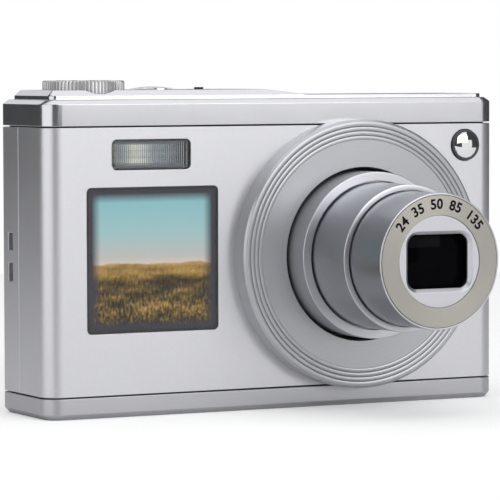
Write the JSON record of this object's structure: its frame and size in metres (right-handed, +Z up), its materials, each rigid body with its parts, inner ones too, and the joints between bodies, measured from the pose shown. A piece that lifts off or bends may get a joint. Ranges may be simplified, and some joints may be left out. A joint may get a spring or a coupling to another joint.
{
  "type": "compact digital camera",
  "caption": "Slim rectangular digital camera with a telescoping zoom lens, a square front screen, flash, mode dial, rear screen and pad, and a hinged battery door.",
  "frame": {"origin": "mouth of the tripod socket, in the plane of the bottom, at the middle of the body", "axes": "+X to the right as seen from the front, along the body's length; the front and the lens face -Y; +Z up, -Z out of the tripod socket"},
  "size_m": [0.105, 0.0582, 0.0681],
  "materials": {
    "silver_body": "satin",
    "chassis_black": "matte",
    "screw_steel": "satin",
    "bezel_metal": "spun satin",
    "barrel_metal": "bead-blasted",
    "champagne": "brushed",
    "mask_silver": "satin",
    "inner_black": "matte",
    "lens_glass": "polished, coated",
    "motor_steel": "satin",
    "board_green": "solder mask",
    "screen_glass": "polished",
    "display": "gloss",
    "flash_clear": "ribbed, clear",
    "flash_mirror": "polished",
    "chrome_trim": "polished",
    "capacitor_sleeve": "gloss",
    "rubber_mat": "matte",
    "control_silver": "satin",
    "control_dark": "gloss",
    "battery_wrap": "matte",
    "card_plastic": "matte"
  },
  "bodies": {
    "camera": {"battery": "battery_wrap", "battery_contacts": "inner_black", "bottom_cover": "silver_body", "card_socket": "screw_steel", "case_screws": "screw_steel", "chassis": "chassis_black", "dial_switch": "inner_black", "door_pin": "screw_steel", "flash_capacitor": "capacitor_sleeve", "flash_reflector": "flash_mirror", "flash_tube": "flash_clear", "flash_window": "flash_clear", "focus_motor": "motor_steel", "front_cover": "silver_body", "front_screen_glass": "screen_glass", "front_screen_module": "display", "image_sensor": "display", "lamp_lens": "flash_clear", "lamp_rim": "chrome_trim", "lens_bezel": "bezel_metal", "lens_housing": "inner_black", "main_board": "board_green", "memory_card": "card_plastic", "microphone": "screw_steel", "rear_cover": "silver_body", "rear_screen_glass": "screen_glass", "rear_screen_module": "display", "sensor_board": "board_green", "speaker": "inner_black", "top_board": "board_green", "top_cover": "silver_body", "tripod_nut": "screw_steel", "usb_socket": "screw_steel", "zoom_drive": "motor_steel"},
    "barrel_1": {"barrel_stage_1": "barrel_metal"},
    "barrel_2": {"barrel_stage_2": "barrel_metal", "zoom_group_holder": "inner_black", "zoom_glass": "lens_glass"},
    "barrel_3": {"barrel_stage_3": "barrel_metal", "name_ring": "champagne", "lens_mask": "mask_silver", "front_group_holder": "inner_black", "front_glass": "lens_glass"},
    "blade_upper": {"barrier_blade_upper": "inner_black"},
    "blade_lower": {"barrier_blade_lower": "inner_black"},
    "focus_group": {"focus_holder": "inner_black", "focus_glass": "lens_glass"},
    "dial": {"mode_dial": "control_silver"},
    "lever": {"zoom_lever": "control_silver"},
    "shutter": {"shutter_button": "chrome_trim"},
    "power": {"power_button": "control_dark"},
    "playback": {"playback_button": "control_silver"},
    "delete": {"delete_button": "control_silver"},
    "selfie": {"selfie_button": "control_silver"},
    "menu": {"menu_button": "control_silver"},
    "pad_mat": {"nav_mat": "rubber_mat"},
    "pad": {"nav_ring": "control_silver"},
    "ok": {"ok_button": "control_silver"},
    "door": {"battery_door": "silver_body"},
    "latch": {"battery_latch": "control_dark"}
  },
  "joints": [
    {"name": "barrel_1_slide", "type": "slide", "parent": "camera", "child": "barrel_1", "axis": [0, -1, 0], "range_m": [-0.00546, 0]},
    {"name": "barrel_2_slide", "type": "slide", "parent": "barrel_1", "child": "barrel_2", "axis": [0, -1, 0], "range_m": [-0.01312, 0]},
    {"name": "barrel_3_slide", "type": "slide", "parent": "barrel_2", "child": "barrel_3", "axis": [0, -1, 0], "range_m": [-0.01227, 0]},
    {"name": "upper_blade_slide", "type": "slide", "parent": "barrel_3", "child": "blade_upper", "axis": [0, 0, 1], "range_m": [-0.0056, 0]},
    {"name": "lower_blade_slide", "type": "slide", "parent": "barrel_3", "child": "blade_lower", "axis": [0, 0, -1], "range_m": [-0.0056, 0]},
    {"name": "focus_slide", "type": "slide", "parent": "camera", "child": "focus_group", "axis": [0, -1, 0], "range_m": [-0.0004, 0.0004]},
    {"name": "mode_dial_turn", "type": "hinge", "parent": "camera", "child": "dial", "pos_m": [-0.0391, -0.00015, 0.066], "axis": [0, 0, 1], "continuous": true},
    {"name": "zoom_lever_turn", "type": "hinge", "parent": "camera", "child": "lever", "pos_m": [-0.0237, -0.00015, 0.0655], "axis": [0, 0, 1], "range_deg": [-18, 18], "stiffness_Nm_per_rad": 0.02},
    {"name": "shutter_press", "type": "slide", "parent": "camera", "child": "shutter", "axis": [0, 0, -1], "range_m": [0, 0.0008], "stiffness_N_per_m": 1500},
    {"name": "power_press", "type": "slide", "parent": "camera", "child": "power", "axis": [0, 0, -1], "range_m": [0, 0.0004], "stiffness_N_per_m": 2500},
    {"name": "playback_press", "type": "slide", "parent": "camera", "child": "playback", "axis": [0, -1, 0], "range_m": [0, 0.0004], "stiffness_N_per_m": 2500},
    {"name": "delete_press", "type": "slide", "parent": "camera", "child": "delete", "axis": [0, -1, 0], "range_m": [0, 0.0004], "stiffness_N_per_m": 2500},
    {"name": "selfie_press", "type": "slide", "parent": "camera", "child": "selfie", "axis": [0, -1, 0], "range_m": [0, 0.0004], "stiffness_N_per_m": 2500},
    {"name": "menu_press", "type": "slide", "parent": "camera", "child": "menu", "axis": [0, -1, 0], "range_m": [0, 0.0004], "stiffness_N_per_m": 2500},
    {"name": "pad_tilt_up_down", "type": "hinge", "parent": "camera", "child": "pad_mat", "pos_m": [-0.033, 0.01, 0.024], "axis": [1, 0, 0], "range_deg": [-2, 2], "stiffness_Nm_per_rad": 0.6},
    {"name": "pad_tilt_side", "type": "hinge", "parent": "pad_mat", "child": "pad", "pos_m": [-0.033, 0.01, 0.024], "axis": [0, 0, 1], "range_deg": [-2, 2], "stiffness_Nm_per_rad": 0.6},
    {"name": "ok_press", "type": "slide", "parent": "camera", "child": "ok", "axis": [0, -1, 0], "range_m": [0, 0.0004], "stiffness_N_per_m": 2500},
    {"name": "battery_door_swing", "type": "hinge", "parent": "camera", "child": "door", "pos_m": [-0.029, -0.0053, 0.00075], "axis": [-1, 0, 0], "range_deg": [0, 90]},
    {"name": "latch_slide", "type": "slide", "parent": "door", "child": "latch", "axis": [1, 0, 0], "range_m": [0, 0.002]}
  ],
  "couplings": [
    {"joint": "barrel_1_slide", "follows": "barrel_2_slide", "ratio": 0.41616},
    {"joint": "barrel_3_slide", "follows": "barrel_2_slide", "ratio": 0.93521},
    {"joint": "upper_blade_slide", "follows": "barrel_2_slide", "ratio": 0.42645},
    {"joint": "lower_blade_slide", "follows": "barrel_2_slide", "ratio": 0.42645}
  ]
}
